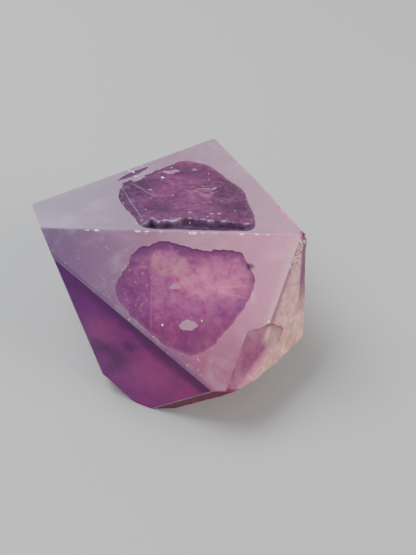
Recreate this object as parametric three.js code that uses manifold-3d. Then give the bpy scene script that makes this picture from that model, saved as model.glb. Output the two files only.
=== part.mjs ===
// A single amethyst point, lying on a flat base.
//
// Quartz grows as a six-sided prism under a six-sided pyramid. This one leans far over, so that
// two of its pyramid faces look up and forward. Both have been ground flat and are frosted, and
// the grinding stopped before it reached the bottom of a glassy hollow in each. The far end is
// raw, where the crystal broke from its bed.
//
// Millimetres, +Z up. X runs along the ridge between the two ground faces, Y away from the front.

import * as THREE from 'three';
import { mergeVertices } from 'three/addons/utils/BufferGeometryUtils.js';
import Module from 'manifold-3d';

const wasm = await Module();
wasm.setup();

// ---- How the crystal grew. Face 0 is the front, 1 the top, and so on round to 5, lower left ----

const POLE_ANGLE = 51.8;                                    // axis to a pyramid face's normal
const PYRAMID_REACH = [0, 0, 4.1, 2.2, -3.6, 0];            // outward from the apex
const PRISM_REACH = [31.4, 31.9, 36.3, 31.0, 31.0, 27.9];   // outward from the axis
const FRONT = 0;
const TOP = 1;
const LEFT = 4;

// ---- How it lies -------------------------------------------------------------------------------

const APEX = new THREE.Vector3(-27.92, -12.03, 34.5);        // where front, top and lower left meet
const AXIS_TILT = 46.1;                                     // from upright
const AXIS_HEADING = 201.0;                                 // the way the tip points, in plan
const AXIS_SPIN = 123.1;                                    // the front face's turn on the axis
const LENGTH = 54;                                          // from the apex, before it broke
const GIRTH = 120;                                          // wider than the prism

// ---- A patch of the front prism face grew lower than the rest: a ledge above it, a ramp beyond ---

const STEP = {
    reach: 29.3,                                            // of the sunken patch, from the axis
    drop: 2.1,
    edge: -2.4,                                             // where the ledge is, across the face
    ledge: [-0.2, 0.5],                                     // its foot and its brink, round the edge
    skew: -0.9,                                             // it runs aside, for each mm along the
    skewFrom: -37.5,                                        // axis, from where it crosses the edge
    highest: 0.2,                                           // and no further up the face than this
    end: -43.0,                                             // where the ramp starts, along the axis
    slant: 0.4,                                             // nearer for each mm below the ledge
    ramp: 2.5,
    middle: [-11.4, -23.0],
    size: [40, 50],
    cell: 1.25,
};

// ---- Broken surfaces: a place on each, from the apex, and the way it faces ----------------------
// swell is the share of the full relief that the surface has: low where it broke nearly flat.

const BREAKS = {
    rightEnd: { at: [50.1, 12.7, -9.1], heading: 25.5, dip: -16.0, size: [64, 52], swell: 0.3 },
    lowerRight: { at: [42.6, -14.2, -27.3], heading: -44.0, dip: -46.2, size: [50, 40], swell: 0.4 },
    base: { at: [34.6, 13.3, -35.7], heading: 24.0, dip: -41.8, size: [64, 48], swell: 1 },
    lowerBack: { at: [21.0, 41.3, -20.3], heading: 62.0, dip: -32.0, size: [66, 46], swell: 1 },
    leftCorner: { at: [15.1, -12.5, -31.1], heading: 219.7, dip: -29.7, size: [24, 20], swell: 0.4 },
};
const BREAK_CELL = 2.4;
const SWELL_HEIGHT = 0.7;
const SWELL_PITCH = 34;
const LEDGE_RISE = 0.4;                                     // height of one step in broken quartz
const LEDGES = 1.6;                                         // steps in one swell

// ---- Hollows: outlines on a ground face, from the tip end of the ridge --------------------------
// The first number runs along the ridge, the second down the face, away from the ridge.

const TOP_HOLLOW = {
    outline: [
        [13.8, 12.1], [15.0, 17.6], [17.8, 18.9], [20.8, 22.4], [24.9, 25.8], [28.0, 28.0],
        [31.5, 27.2], [34.4, 25.2], [37.3, 20.4], [40.2, 16.2], [40.8, 11.5], [41.5, 5.7],
        [40.7, 1.6], [36.1, 0.8], [27.0, 0.8], [19.5, 1.1], [17.4, 4.4], [15.2, 8.3],
    ],
    islands: [{ at: [25.1, 23.0], radii: [1.9, 0.55] }],
    dishes: [
        { at: [21, 12], radii: [10, 9], depth: 0.6 },
        { at: [33, 14], radii: [12, 11], depth: 0.9 },
        { at: [29, 22], radii: [8, 8], depth: 0.6 },
    ],
    crest: [
        [14, 0], [16.3, 0.9], [18.7, 1.6], [19.9, 3.4], [20.8, 5.0], [22.0, 3.4], [23.4, 4.3],
        [25.0, 3.9], [26.9, 5.2], [29.8, 5.2], [32.6, 4.5], [35.0, 4.6], [37.2, 3.9], [42, 3.4],
    ],
    trough: 1.7,
    wallSlope: 0.6,
    floor: 0.15,
    size: [34, 34],
    middle: [27.5, 14],
    cell: 1.05,
};
const FRONT_HOLLOW = {
    outline: [
        [20.9, 2.4], [23.3, 1.9], [27.0, 2.6], [30.9, 3.4], [37.4, 3.4], [39.4, 5.6], [40.9, 8.6],
        [40.1, 12.1], [38.0, 15.8], [34.8, 19.5], [32.0, 22.5], [28.5, 23.5], [24.9, 22.3],
        [20.0, 18.8], [16.5, 15.4], [14.3, 12.0], [14.9, 9.3], [16.5, 6.4], [17.3, 4.2],
    ],
    islands: [{ at: [28.1, 17.9], radii: [1.9, 1.3] }, { at: [25.6, 10.6], radii: [1.3, 0.6] }],
    dishes: [
        { at: [20, 10], radii: [8, 8], depth: 0.4 },
        { at: [31, 11], radii: [11, 9], depth: 0.5 },
        { at: [29, 19], radii: [9, 7], depth: 0.4 },
    ],
    crest: [],
    trough: 0,
    wallSlope: 0.4,
    floor: 0.12,
    size: [34, 30],
    middle: [27.5, 12.5],
    cell: 1.05,
};
const OUTLINE_STEPS = 6;                                    // points between two of an outline
const ISLAND_SLOPE = 0.35;                                  // the floor's, away from an island
const CREST_WIDTH = 0.8;                                    // over which the trough falls away
const CLEARANCE = 1.2;                                      // of a cutting block over what it spares

// ---- Chips knocked out of ridges and corners: from the apex --------------------------------------

const CHIPS = [
    { at: [54.4, 3.3, -4.6], radius: 1.3 },
    { at: [45.6, 2.8, -3.2], radius: 0.9 },
    { at: [20.5, -11.4, -12.9], radius: 0.8 },
    { at: [31.6, -17.1, -19.5], radius: 0.9 },
    { at: [38.8, -21.0, -24.0], radius: 1.4 },
];

const BLOCK = 200;                                          // a cutting block for a whole face
const BLOCK_THICKNESS = 90;

// ---- Directions ----------------------------------------------------------------------------------

const radians = THREE.MathUtils.degToRad;

const growth = new THREE.Matrix4().makeRotationZ(radians(AXIS_HEADING))
    .multiply(new THREE.Matrix4().makeRotationY(radians(AXIS_TILT)))
    .multiply(new THREE.Matrix4().makeRotationZ(radians(AXIS_SPIN)));

// The direction at an angle from the crystal's axis, turned around it.
function crystalDirection(fromAxis, turn) {
    const around = new THREE.Vector3(Math.cos(radians(turn)), Math.sin(radians(turn)), 0);
    return around.multiplyScalar(Math.sin(radians(fromAxis)))
        .setZ(Math.cos(radians(fromAxis)))
        .applyMatrix4(growth);
}

// The direction towards a compass heading in plan, dipping below the horizon when negative.
function worldDirection(heading, dip) {
    const level = Math.cos(radians(dip));
    return new THREE.Vector3(
        level * Math.cos(radians(heading)),
        level * Math.sin(radians(heading)),
        Math.sin(radians(dip)),
    );
}

const pyramidNormals = PYRAMID_REACH.map((reach, face) => crystalDirection(POLE_ANGLE, 60 * face));
const prismNormals = PRISM_REACH.map((reach, face) => crystalDirection(90, 60 * face));

// ---- Cutting blocks --------------------------------------------------------------------------------

function toSolid(geometry) {
    geometry.deleteAttribute('normal');
    geometry.deleteAttribute('uv');
    const merged = mergeVertices(geometry);
    return new wasm.Manifold(new wasm.Mesh({
        numProp: 3,
        vertProperties: new Float32Array(merged.attributes.position.array),
        triVerts: new Uint32Array(merged.index.array),
    }));
}

// A block whose underside lies on a surface at origin, facing out along normal. relief(u, v)
// raises the underside above the surface, so it is below zero where the block cuts deeper.
function cuttingBlock({ origin, normal, along, size, cell = BLOCK, relief = () => 0 }) {
    const across = new THREE.Vector3().crossVectors(normal, along);
    const [width, height] = size;
    const columns = Math.ceil(width / cell);
    const rows = Math.ceil(height / cell);
    const geometry = new THREE.BoxGeometry(width, height, BLOCK_THICKNESS, columns, rows, 1);
    const points = geometry.attributes.position;
    for (let i = 0; i < points.count; i += 1) {
        const under = points.getZ(i) < 0;
        points.setZ(i, under ? relief(points.getX(i), points.getY(i)) : BLOCK_THICKNESS);
    }
    geometry.applyMatrix4(new THREE.Matrix4().makeBasis(along, across, normal).setPosition(origin));
    return toSolid(geometry);
}

// A direction that lies level in a surface, for blocks that have no better one.
function levelIn(normal) {
    const upright = Math.abs(normal.z) > 0.99;
    return new THREE.Vector3(upright ? 1 : 0, 0, upright ? 0 : 1).cross(normal).normalize();
}

function flatCut(normal, reach) {
    const origin = APEX.clone().addScaledVector(normal, reach);
    return cuttingBlock({ origin, normal, along: levelIn(normal), size: [BLOCK, BLOCK] });
}

// ---- Relief ------------------------------------------------------------------------------------------

// An uneven swell between about -1 and 1.
function swell(u, v, pitch) {
    const turn = 2 * Math.PI / pitch;
    return 0.5 * Math.sin(turn * (u + 0.4 * v) + 0.6)
        + 0.3 * Math.sin(1.7 * turn * (v - 0.3 * u) + 2.1)
        + 0.2 * Math.sin(2.9 * turn * (0.7 * u + 0.6 * v) + 4.0);
}

// Rounds a value down to steps, with a short rise between one step and the next.
function ledges(value) {
    const step = Math.floor(value);
    return step + THREE.MathUtils.smoothstep(value - step, 0.7, 1);
}

function brokenRelief(u, v) {
    const height = swell(u, v, SWELL_PITCH);
    return SWELL_HEIGHT * height + LEDGE_RISE * (0.5 + ledges(LEDGES * height));
}

// The sunken patch of the front prism face. Past its ledge and its ramp the block spares the face.
function stepRelief(u, v) {
    const across = STEP.middle[0] + u;
    const along = STEP.middle[1] + v;
    const brink = Math.min(STEP.edge + STEP.skew * (along - STEP.skewFrom), STEP.highest);
    const ledge = 1 - THREE.MathUtils.smoothstep(brink - across, ...STEP.ledge);
    const end = STEP.end + STEP.slant * Math.max(STEP.edge - across, 0);
    const rise = THREE.MathUtils.smoothstep(end - along, 0, STEP.ramp);
    return (STEP.drop + CLEARANCE) * Math.max(ledge, rise);
}

// Where the frayed crest that borders the trough lies, from the ridge.
function crestAt(crest, u) {
    const next = crest.findIndex(([place]) => place > u);
    if (next < 1) {
        return crest.at(next)[1];
    }
    const [[startU, startV], [endU, endV]] = crest.slice(next - 1, next + 1);
    return THREE.MathUtils.mapLinear(u, startU, endU, startV, endV);
}

// How far a point lies inside a closed outline; negative outside it.
function insetFrom(outline, u, v) {
    let nearest = Infinity;
    let inside = false;
    outline.forEach((end, i) => {
        const start = outline[(i + outline.length - 1) % outline.length];
        const du = end.x - start.x;
        const dv = end.y - start.y;
        const along = ((u - start.x) * du + (v - start.y) * dv) / (du * du + dv * dv);
        const t = THREE.MathUtils.clamp(along, 0, 1);
        nearest = Math.min(nearest, Math.hypot(u - start.x - t * du, v - start.y - t * dv));
        if ((start.y > v) !== (end.y > v) && u < start.x + (v - start.y) * du / dv) {
            inside = !inside;
        }
    });
    return inside ? nearest : -nearest;
}

// Distance from an ellipse's middle, where 1 is its edge.
function reachInEllipse({ at, radii }, u, v) {
    return Math.hypot((u - at[0]) / radii[0], (v - at[1]) / radii[1]);
}

// The natural surface of a hollow: a gentle wall, then the deepest of several shallow dishes.
function hollowRelief(hollow, outline, u, v) {
    let inset = insetFrom(outline, u, v);
    for (const island of hollow.islands) {
        const away = (reachInEllipse(island, u, v) - 1) * Math.min(...island.radii);
        inset = Math.min(inset, away > 0 ? ISLAND_SLOPE * away : away);
    }
    let depth = hollow.floor;
    for (const dish of hollow.dishes) {
        depth = Math.max(depth, dish.depth * (1 - reachInEllipse(dish, u, v) ** 2));
    }
    if (hollow.trough > 0) {
        const below = crestAt(hollow.crest, u) - v;
        depth = Math.max(depth, hollow.trough * THREE.MathUtils.smoothstep(below, 0, CREST_WIDTH));
    }
    return Math.min(CLEARANCE, Math.max(-hollow.wallSlope * inset, -depth));
}

// ---- The crystal -------------------------------------------------------------------------------------

const ridgeDirection = new THREE.Vector3()
    .crossVectors(pyramidNormals[TOP], pyramidNormals[FRONT])
    .normalize();
const tipDistance = PYRAMID_REACH[LEFT] / pyramidNormals[LEFT].dot(ridgeDirection);
const ridgeTip = APEX.clone().addScaledVector(ridgeDirection, tipDistance);

function hollowCut(hollow, face, side) {
    const normal = pyramidNormals[face];
    const away = new THREE.Vector3().crossVectors(normal, ridgeDirection).multiplyScalar(side);
    const curve = new THREE.CatmullRomCurve3(
        hollow.outline.map(([u, v]) => new THREE.Vector3(u, v, 0)),
        true,
        'centripetal',
    );
    const outline = curve.getPoints(hollow.outline.length * OUTLINE_STEPS).slice(1);
    const [middleU, middleV] = hollow.middle;
    return cuttingBlock({
        origin: ridgeTip.clone().addScaledVector(ridgeDirection, middleU).addScaledVector(away, middleV),
        normal,
        along: ridgeDirection,
        size: hollow.size,
        cell: hollow.cell,
        relief: (u, v) => hollowRelief(hollow, outline, middleU + u, middleV + side * v),
    });
}

function breakCut({ at, heading, dip, size, swell: share }) {
    const normal = worldDirection(heading, dip);
    return cuttingBlock({
        origin: APEX.clone().add(new THREE.Vector3(...at)),
        normal,
        along: levelIn(normal),
        size,
        cell: BREAK_CELL,
        relief: (u, v) => share * brokenRelief(u, v),
    });
}

function stepCut() {
    const normal = prismNormals[FRONT];
    const across = crystalDirection(90, 90);
    const origin = APEX.clone()
        .addScaledVector(normal, STEP.reach)
        .addScaledVector(across, STEP.middle[0])
        .addScaledVector(crystalDirection(0, 0), STEP.middle[1]);
    return cuttingBlock({
        origin, normal, along: across, size: STEP.size, cell: STEP.cell, relief: stepRelief,
    });
}

function chipCut({ at, radius }) {
    const geometry = new THREE.SphereGeometry(radius, 8, 6);
    geometry.translate(...APEX.clone().add(new THREE.Vector3(...at)).toArray());
    return toSolid(geometry);
}

function makeCrystal() {
    const block = new THREE.BoxGeometry(GIRTH, GIRTH, LENGTH);
    block.translate(0, 0, -LENGTH / 2);
    block.applyMatrix4(growth.clone().setPosition(APEX));
    const down = new THREE.Vector3(0, 0, -1);
    const cuts = [
        flatCut(down, APEX.z),                              // the flat base, at Z = 0
        ...PYRAMID_REACH.map((reach, face) => flatCut(pyramidNormals[face], reach)),
        ...PRISM_REACH.map((reach, face) => flatCut(prismNormals[face], reach)),
        stepCut(),
        ...Object.values(BREAKS).map(breakCut),
        hollowCut(TOP_HOLLOW, TOP, 1),
        hollowCut(FRONT_HOLLOW, FRONT, -1),
        ...CHIPS.map(chipCut),
    ];
    return cuts.reduce((solid, cut) => solid.subtract(cut), toSolid(block));
}

function toGeometry(solid) {
    const mesh = solid.getMesh();
    const geometry = new THREE.BufferGeometry();
    geometry.setAttribute('position', new THREE.BufferAttribute(mesh.vertProperties, 3));
    geometry.setIndex(new THREE.BufferAttribute(mesh.triVerts, 1));
    geometry.computeVertexNormals();
    return geometry;
}

const amethyst = new THREE.MeshStandardMaterial({
    color: 0x8f6a94,
    roughness: 0.35,
    metalness: 0,
    flatShading: true,
});
const point = new THREE.Mesh(toGeometry(makeCrystal()), amethyst);
point.name = 'amethyst_point';

const crystal = new THREE.Group();
crystal.add(point);

export default crystal;
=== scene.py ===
# %% [markdown]
# # An amethyst point, finished in Blender
#
# The object is one natural crystal of purple quartz, lying on its side. Two faces of its pyramid
# were ground flat and are frosted like ground glass. In the middle of each, the grinding never
# reached the bottom of an old hollow, which stayed glassy and looks into the stone. The far end
# is raw, where the crystal broke from its bed.
#
# The imported CAD model gives the frame: where the origin is, which way is up and how large the
# crystal is. This script loads it first.

# %% Load the frame
import math
import random

import bmesh
import bpy
import numpy as np
from mathutils import Matrix, Vector, noise


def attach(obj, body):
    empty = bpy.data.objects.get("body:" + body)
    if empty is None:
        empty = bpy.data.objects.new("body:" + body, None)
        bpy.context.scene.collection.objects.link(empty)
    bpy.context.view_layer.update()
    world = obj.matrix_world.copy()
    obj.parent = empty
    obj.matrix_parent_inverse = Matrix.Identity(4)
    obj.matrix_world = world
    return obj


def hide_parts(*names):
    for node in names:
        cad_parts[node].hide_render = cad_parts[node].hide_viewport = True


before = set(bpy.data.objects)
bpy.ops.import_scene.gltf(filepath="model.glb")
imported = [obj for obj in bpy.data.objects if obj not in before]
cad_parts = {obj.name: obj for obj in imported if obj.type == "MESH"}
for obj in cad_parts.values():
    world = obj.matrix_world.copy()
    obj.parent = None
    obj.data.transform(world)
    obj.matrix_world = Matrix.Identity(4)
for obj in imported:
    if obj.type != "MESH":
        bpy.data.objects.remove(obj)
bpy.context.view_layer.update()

# %% [markdown]
# ## How quartz grows, and how this crystal lies
#
# Quartz always grows to the same angles. Every pyramid face leans so that its normal stands 51.8
# degrees from the crystal's long axis, and the faces follow each other every sixty degrees. So a
# whole crystal needs only one turned axis, and for each face how far out it stands. The stone is
# modelled in millimetres, because a bevel of 0.2 is easier to read than one of 0.0002, and it is
# scaled to metres once, at the end.

# %% The crystal's axis and faces
SIDES = 6
SIDE_ANGLE = 60
POLE_ANGLE = 51.8
PYRAMID_REACH = [0, 0, 4.1, 2.2, -3.6, 0]
PRISM_REACH = [31.4, 31.9, 36.3, 31.0, 31.0, 27.9]
FRONT, TOP, LEFT, LOWER_LEFT = 0, 1, 4, 5

APEX = Vector((-27.92, -12.03, 34.5))
AXIS_TILT = 46.1
AXIS_HEADING = 201.0
AXIS_SPIN = 123.1
LENGTH = 54
GIRTH = 120

growth = (
    Matrix.Rotation(math.radians(AXIS_HEADING), 3, "Z")
    @ Matrix.Rotation(math.radians(AXIS_TILT), 3, "Y")
    @ Matrix.Rotation(math.radians(AXIS_SPIN), 3, "Z")
)


def crystal_direction(from_axis, turn):
    """The direction at an angle from the crystal's axis, turned around it."""
    out = math.sin(math.radians(from_axis))
    up = math.cos(math.radians(from_axis))
    around = math.radians(turn)
    return growth @ Vector((out * math.cos(around), out * math.sin(around), up))


def world_direction(heading, dip):
    """The direction towards a heading in plan, below the horizon when dip is negative."""
    level = math.cos(math.radians(dip))
    up = math.sin(math.radians(dip))
    heading = math.radians(heading)
    return Vector((level * math.cos(heading), level * math.sin(heading), up))


axis = crystal_direction(0, 0)
pyramid_normals = [crystal_direction(POLE_ANGLE, SIDE_ANGLE * face) for face in range(SIDES)]
prism_normals = [crystal_direction(90, SIDE_ANGLE * face) for face in range(SIDES)]

ridge = pyramid_normals[TOP].cross(pyramid_normals[FRONT]).normalized()
tip_distance = PYRAMID_REACH[LEFT] / pyramid_normals[LEFT].dot(ridge)
ridge_tip = APEX + ridge * tip_distance
print("axis", [round(v, 3) for v in axis], "ridge tip", [round(v, 2) for v in ridge_tip])

# %% [markdown]
# ## The block
#
# A crystal's faces are planes, so the natural way to cut one is the way a stone cutter would:
# start from a block that is too large and slice it, plane by plane. `bisect_plane` makes the
# slice and drops the part outside, and filling the open cut gives the new face. Each face is
# marked with the finish that it will have, as a material number, because those numbers live
# through every later cut. The lower left pyramid face is as it grew, and so are the short prism
# faces, which quartz stripes across; the other pyramid faces are ground.

# %% Cut the block to its faces
FINISHES = ["ground", "grown", "striped", "broken", "top_hollow", "front_hollow", "chipped"]
GROUND, GROWN, STRIPED, BROKEN, TOP_FLOOR, FRONT_FLOOR, CHIPPED = range(len(FINISHES))
SLICE_TOLERANCE = 1e-5
stand_ins = [bpy.data.materials.new(name) for name in FINISHES]


def open_edges_of(items):
    """The edges among some vertices, edges and faces that have a face on one side only."""
    return [item for item in items if isinstance(item, bmesh.types.BMEdge) and item.is_boundary]


def slice_off(bm, point, normal, finish):
    """Takes away what lies beyond a plane, and closes the cut with a face of that finish."""
    geometry = bm.verts[:] + bm.edges[:] + bm.faces[:]
    cut = bmesh.ops.bisect_plane(
        bm, geom=geometry, dist=SLICE_TOLERANCE, plane_co=point, plane_no=normal,
        clear_outer=True,
    )
    edges = open_edges_of(cut["geom_cut"])
    if edges:
        for face in bmesh.ops.edgeloop_fill(bm, edges=edges)["faces"]:
            face.material_index = finish


block = bmesh.new()
bmesh.ops.create_cube(block, size=1)
bmesh.ops.scale(block, vec=(GIRTH, GIRTH, LENGTH), verts=block.verts)
bmesh.ops.translate(block, vec=(0, 0, -LENGTH / 2), verts=block.verts)
block.transform(Matrix.Translation(APEX) @ growth.to_4x4())
for face in block.faces:
    face.material_index = BROKEN

slice_off(block, Vector((0, 0, 0)), Vector((0, 0, -1)), BROKEN)
for face, reach in enumerate(PYRAMID_REACH):
    finish = GROWN if face == LOWER_LEFT else GROUND
    slice_off(block, APEX + pyramid_normals[face] * reach, pyramid_normals[face], finish)
for face, reach in enumerate(PRISM_REACH):
    slice_off(block, APEX + prism_normals[face] * reach, prism_normals[face], STRIPED)
bmesh.ops.recalc_face_normals(block, faces=block.faces)
print("block:", len(block.faces), "faces")

# %% [markdown]
# ## Ridges worn round
#
# No real edge is as sharp as two planes that meet. The ridges of a handled crystal are rubbed
# blunt, and the one below the front face was ground along with it, which left a narrow frosted
# strip. A small bevel does both: the light that it catches is what makes a hard edge look solid.

# %% Bevel the ridges
RIDGE_WEAR = 0.16
GROUND_STRIP = 0.42
WORN_FROM = math.radians(25)
ALIGNED = 0.999


def between(face_a, face_b, edge):
    """True if an edge is where the planes of those two normals meet."""
    one, other = [face.normal for face in edge.link_faces]
    return any(
        one.dot(first) > ALIGNED and other.dot(second) > ALIGNED
        for first, second in ((face_a, face_b), (face_b, face_a))
    )


def wear(bm, edges, width, finish):
    """Rounds edges off with a narrow strip of that finish."""
    worn = bmesh.ops.bevel(
        bm, geom=edges, offset=width, offset_type="OFFSET", affect="EDGES",
        segments=2, profile=0.5, material=-1, clamp_overlap=True,
    )
    for face in worn["faces"]:
        face.material_index = finish
    return len(worn["faces"])


strip_edges = [
    edge for edge in block.edges
    if between(pyramid_normals[FRONT], pyramid_normals[LOWER_LEFT], edge)
]
strips = wear(block, strip_edges, GROUND_STRIP, GROUND)
other_edges = [edge for edge in block.edges if edge.calc_face_angle(0) > WORN_FROM]
blunt = wear(block, other_edges, RIDGE_WEAR, GROUND)
print("ground strip:", strips, "faces, worn ridges:", blunt, "faces")


# %% Put the block in an object
def to_object(bm, name, materials):
    """Puts a bmesh in a new object at the origin."""
    mesh = bpy.data.meshes.new(name)
    bm.to_mesh(mesh)
    bm.free()
    for material in materials:
        mesh.materials.append(material)
    thing = bpy.data.objects.new(name, mesh)
    bpy.context.scene.collection.objects.link(thing)
    return thing


bmesh.ops.triangulate(block, faces=block.faces)
crystal = to_object(block, "amethyst", stand_ins)
print("crystal:", len(crystal.data.polygons), "triangles")

# %% [markdown]
# ## A sheet that cuts
#
# Broken quartz and the floors of the hollows are not flat, so a plane can't cut them. What can is
# a sheet: a fine grid, lifted point by point to the shape of the surface that should be left, with
# walls and a lid so that it encloses the stone to be taken away. Subtracting it with a Boolean
# modifier leaves the shape of the sheet on the crystal. A grid is the honest choice here, because
# every relief below is a height over a flat surface.
#
# A lifted square of the grid has four corners that no longer lie in one plane, and a cut through
# such a face has no single right answer. Splitting every face into triangles first makes all of
# them flat, and then the crystal comes out the same every time.

# %% The cutting sheet
LID = 60
CLEARANCE = 1.2


def frame_on(origin, normal, along):
    """The turn and place that put X along, and Z out of, a surface."""
    across = normal.cross(along)
    turn = Matrix((along, across, normal)).transposed()
    return Matrix.Translation(origin) @ turn.to_4x4()


def level_in(normal):
    """A level direction that lies in a surface."""
    return Vector((0, 0, 1)).cross(normal).normalized()


def cutting_sheet(name, origin, normal, along, size, cell, relief, finish):
    """An object that takes away everything above a surface shaped by relief(u, v)."""
    bm = bmesh.new()
    columns, rows = round(size[0] / cell), round(size[1] / cell)
    bmesh.ops.create_grid(bm, x_segments=columns, y_segments=rows, size=0.5)
    bmesh.ops.scale(bm, vec=(size[0], size[1], 1), verts=bm.verts)
    u = np.array([vert.co.x for vert in bm.verts])
    v = np.array([vert.co.y for vert in bm.verts])
    for vert, height in zip(bm.verts, relief(u, v)):
        vert.co.z = height
    walls = bmesh.ops.extrude_edge_only(bm, edges=open_edges_of(bm.edges))["geom"]
    for item in walls:
        if isinstance(item, bmesh.types.BMVert):
            item.co.z = LID
    bmesh.ops.edgeloop_fill(bm, edges=open_edges_of(walls))
    bmesh.ops.triangulate(bm, faces=bm.faces)
    bmesh.ops.recalc_face_normals(bm, faces=bm.faces)
    bm.transform(frame_on(origin, normal, along))
    for face in bm.faces:
        face.smooth = True
    return to_object(bm, name, [stand_ins[finish]])


print("sheets: lid at", LID, "mm,", CLEARANCE, "mm clear of a face")

# %% [markdown]
# ## Relief of broken quartz
#
# Quartz has no grain to split along. It breaks like glass, in shells: broad swells that step down
# in short ledges, with fine ripples that spread from where the blow fell. The swell and the ledges
# are the same as on the CAD solid, so that both have one outline. The ripples and the roughness
# are finer than that solid's faces, so they come here, and they only ever cut a little deeper.

# %% Swells, ledges and clouds
RISE_FROM = 0.7


def smooth_step(value, low, high):
    """0 below low, 1 above high, and an even curve between."""
    t = np.clip((value - low) / (high - low), 0, 1)
    return t * t * (3 - 2 * t)


def swell(u, v, pitch):
    """An uneven swell between about -1 and 1."""
    turn = 2 * math.pi / pitch
    return (
        0.5 * np.sin(turn * (u + 0.4 * v) + 0.6)
        + 0.3 * np.sin(1.7 * turn * (v - 0.3 * u) + 2.1)
        + 0.2 * np.sin(2.9 * turn * (0.7 * u + 0.6 * v) + 4.0)
    )


def ledges(value):
    """Rounds a value down to steps, with a short rise between one step and the next."""
    step = np.floor(value)
    return step + smooth_step(value - step, RISE_FROM, 1)


def cloud(u, v, pitch, seed, octaves=4):
    """Fractal noise between about -1 and 1 at each point."""
    return np.array([
        noise.fractal(Vector((a / pitch, b / pitch, seed)), 0.9, 2.1, octaves)
        for a, b in zip(u, v)
    ])


print("a height of 1.5 rounds down to the step at", float(ledges(1.5)))

# %% The relief of one break
SWELL_HEIGHT = 0.7
SWELL_PITCH = 34
LEDGE_RISE = 0.4
LEDGES = 1.6
RIPPLE_HEIGHT = 0.07
RIPPLE_PITCH = 2.3
RIPPLE_WANDER, WANDER_PITCH = 1.5, 14
GRIT_HEIGHT = 0.22
GRIT_PITCH = 5.0
TREAD_HEIGHT, TREAD_PITCH, TREADS = 0.16, 9, 2.2


def broken_relief(blow, seed, share):
    """The relief of one broken surface, struck at the point blow. It swells by that share."""
    def relief(u, v):
        height = swell(u, v, SWELL_PITCH)
        form = SWELL_HEIGHT * height + LEDGE_RISE * (0.5 + ledges(LEDGES * height))
        far = np.hypot(u - blow[0], v - blow[1])
        far = far + RIPPLE_WANDER * cloud(u, v, WANDER_PITCH, seed)
        ripple = RIPPLE_HEIGHT * (np.sin(2 * math.pi * far / RIPPLE_PITCH) - 1)
        grit = cloud(u, v, GRIT_PITCH, seed + 7)
        treads = TREAD_HEIGHT * (ledges(TREADS * cloud(u, v, TREAD_PITCH, seed + 3, 2)) - 1.5)
        fine = ripple + GRIT_HEIGHT * (grit - 1) * 0.5 + np.minimum(treads, 0)
        return share * form + (0.4 + 0.6 * share) * fine
    return relief


print("ripples every", RIPPLE_PITCH, "mm")

# %% [markdown]
# ## The broken end
#
# Four breaks make the raw end, and a fifth took off the lower left corner. Each is a place on the
# surface and the way that it faces, and each gets a cutting sheet of its own.

# %% Break the far end off
BREAKS = {
    "right_end": ((50.1, 12.7, -9.1), 25.5, -16.0, (64, 52), 0.3),
    "lower_right": ((42.6, -14.2, -27.3), -44.0, -46.2, (50, 40), 0.4),
    "base": ((34.6, 13.3, -35.7), 24.0, -41.8, (64, 48), 1),
    "lower_back": ((21.0, 41.3, -20.3), 62.0, -32.0, (66, 46), 1),
    "left_corner": ((15.1, -12.5, -31.1), 219.7, -29.7, (24, 20), 0.4),
}
BREAK_CELL = 0.42

cutters = []
for seed, (name, (place, heading, dip, size, share)) in enumerate(BREAKS.items()):
    normal = world_direction(heading, dip)
    cutters.append(cutting_sheet(
        name, APEX + Vector(place), normal, level_in(normal), size, BREAK_CELL,
        broken_relief((size[0] * 0.4, size[1] * 0.45), seed, share), BROKEN,
    ))

print("breaks:", [cutter.name for cutter in cutters])

# %% [markdown]
# ## A growth step, and chips
#
# Beside the front face, a patch of the prism face grew two millimetres lower than the rest. Its
# upper edge is a short ledge and its far edge a ramp, so it is a small basin and not a slot.
# Ridges and corners also took knocks. Each chip is a rough little ball cut out of the stone, and
# a row of them crushed the corner at the right. Each ball's middle stays near the surface, because
# a ball that lies wholly inside would leave a hidden bubble. Their roughness and their places come
# from seeded random numbers, so they are the same each time.

# %% The growth step
STEP_DROP = 2.1
STEP_REACH = 29.3
STEP_EDGE = -2.4
STEP_END = -43.0
STEP_SLANT = 0.4
STEP_RAMP = 2.5
STEP_SKEW = -0.9
STEP_SKEW_FROM = -37.5
STEP_HIGHEST = 0.2
STEP_MIDDLE = (-11.4, -23.0)
STEP_SIZE = (40, 50)
STEP_CELL = 0.4
STEP_RAGGED, RAGGED_PITCH = 0.55, 2.4
STEP_WAVES, WAVES_PITCH = 0.04, 12.0

front_across = crystal_direction(90, 90)


def step_relief(u, v):
    """The sunken patch of the front prism face: level, with a ledge and a ramp round it."""
    across, along = STEP_MIDDLE[0] + u, STEP_MIDDLE[1] + v
    ragged = STEP_RAGGED * cloud(u, v, RAGGED_PITCH, 5.5, 3)
    brink = np.minimum(STEP_EDGE + STEP_SKEW * (along - STEP_SKEW_FROM), STEP_HIGHEST)
    ledge = 1 - smooth_step(brink - across + ragged, -0.2, 0.5)
    end = STEP_END + STEP_SLANT * np.maximum(STEP_EDGE - across, 0)
    rise = smooth_step(end - along + 0.2 * ragged, 0, STEP_RAMP)
    waves = STEP_WAVES * (1 + cloud(u, v, WAVES_PITCH, 2.2, 2))
    return (STEP_DROP + CLEARANCE) * np.maximum(ledge, rise) - waves


step_middle = (
    APEX + prism_normals[FRONT] * STEP_REACH
    + front_across * STEP_MIDDLE[0] + axis * STEP_MIDDLE[1]
)
cutters.append(cutting_sheet(
    "growth_step", step_middle, prism_normals[FRONT], front_across, STEP_SIZE, STEP_CELL,
    step_relief, STRIPED,
))
print("growth step:", STEP_DROP, "mm deep")

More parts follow.
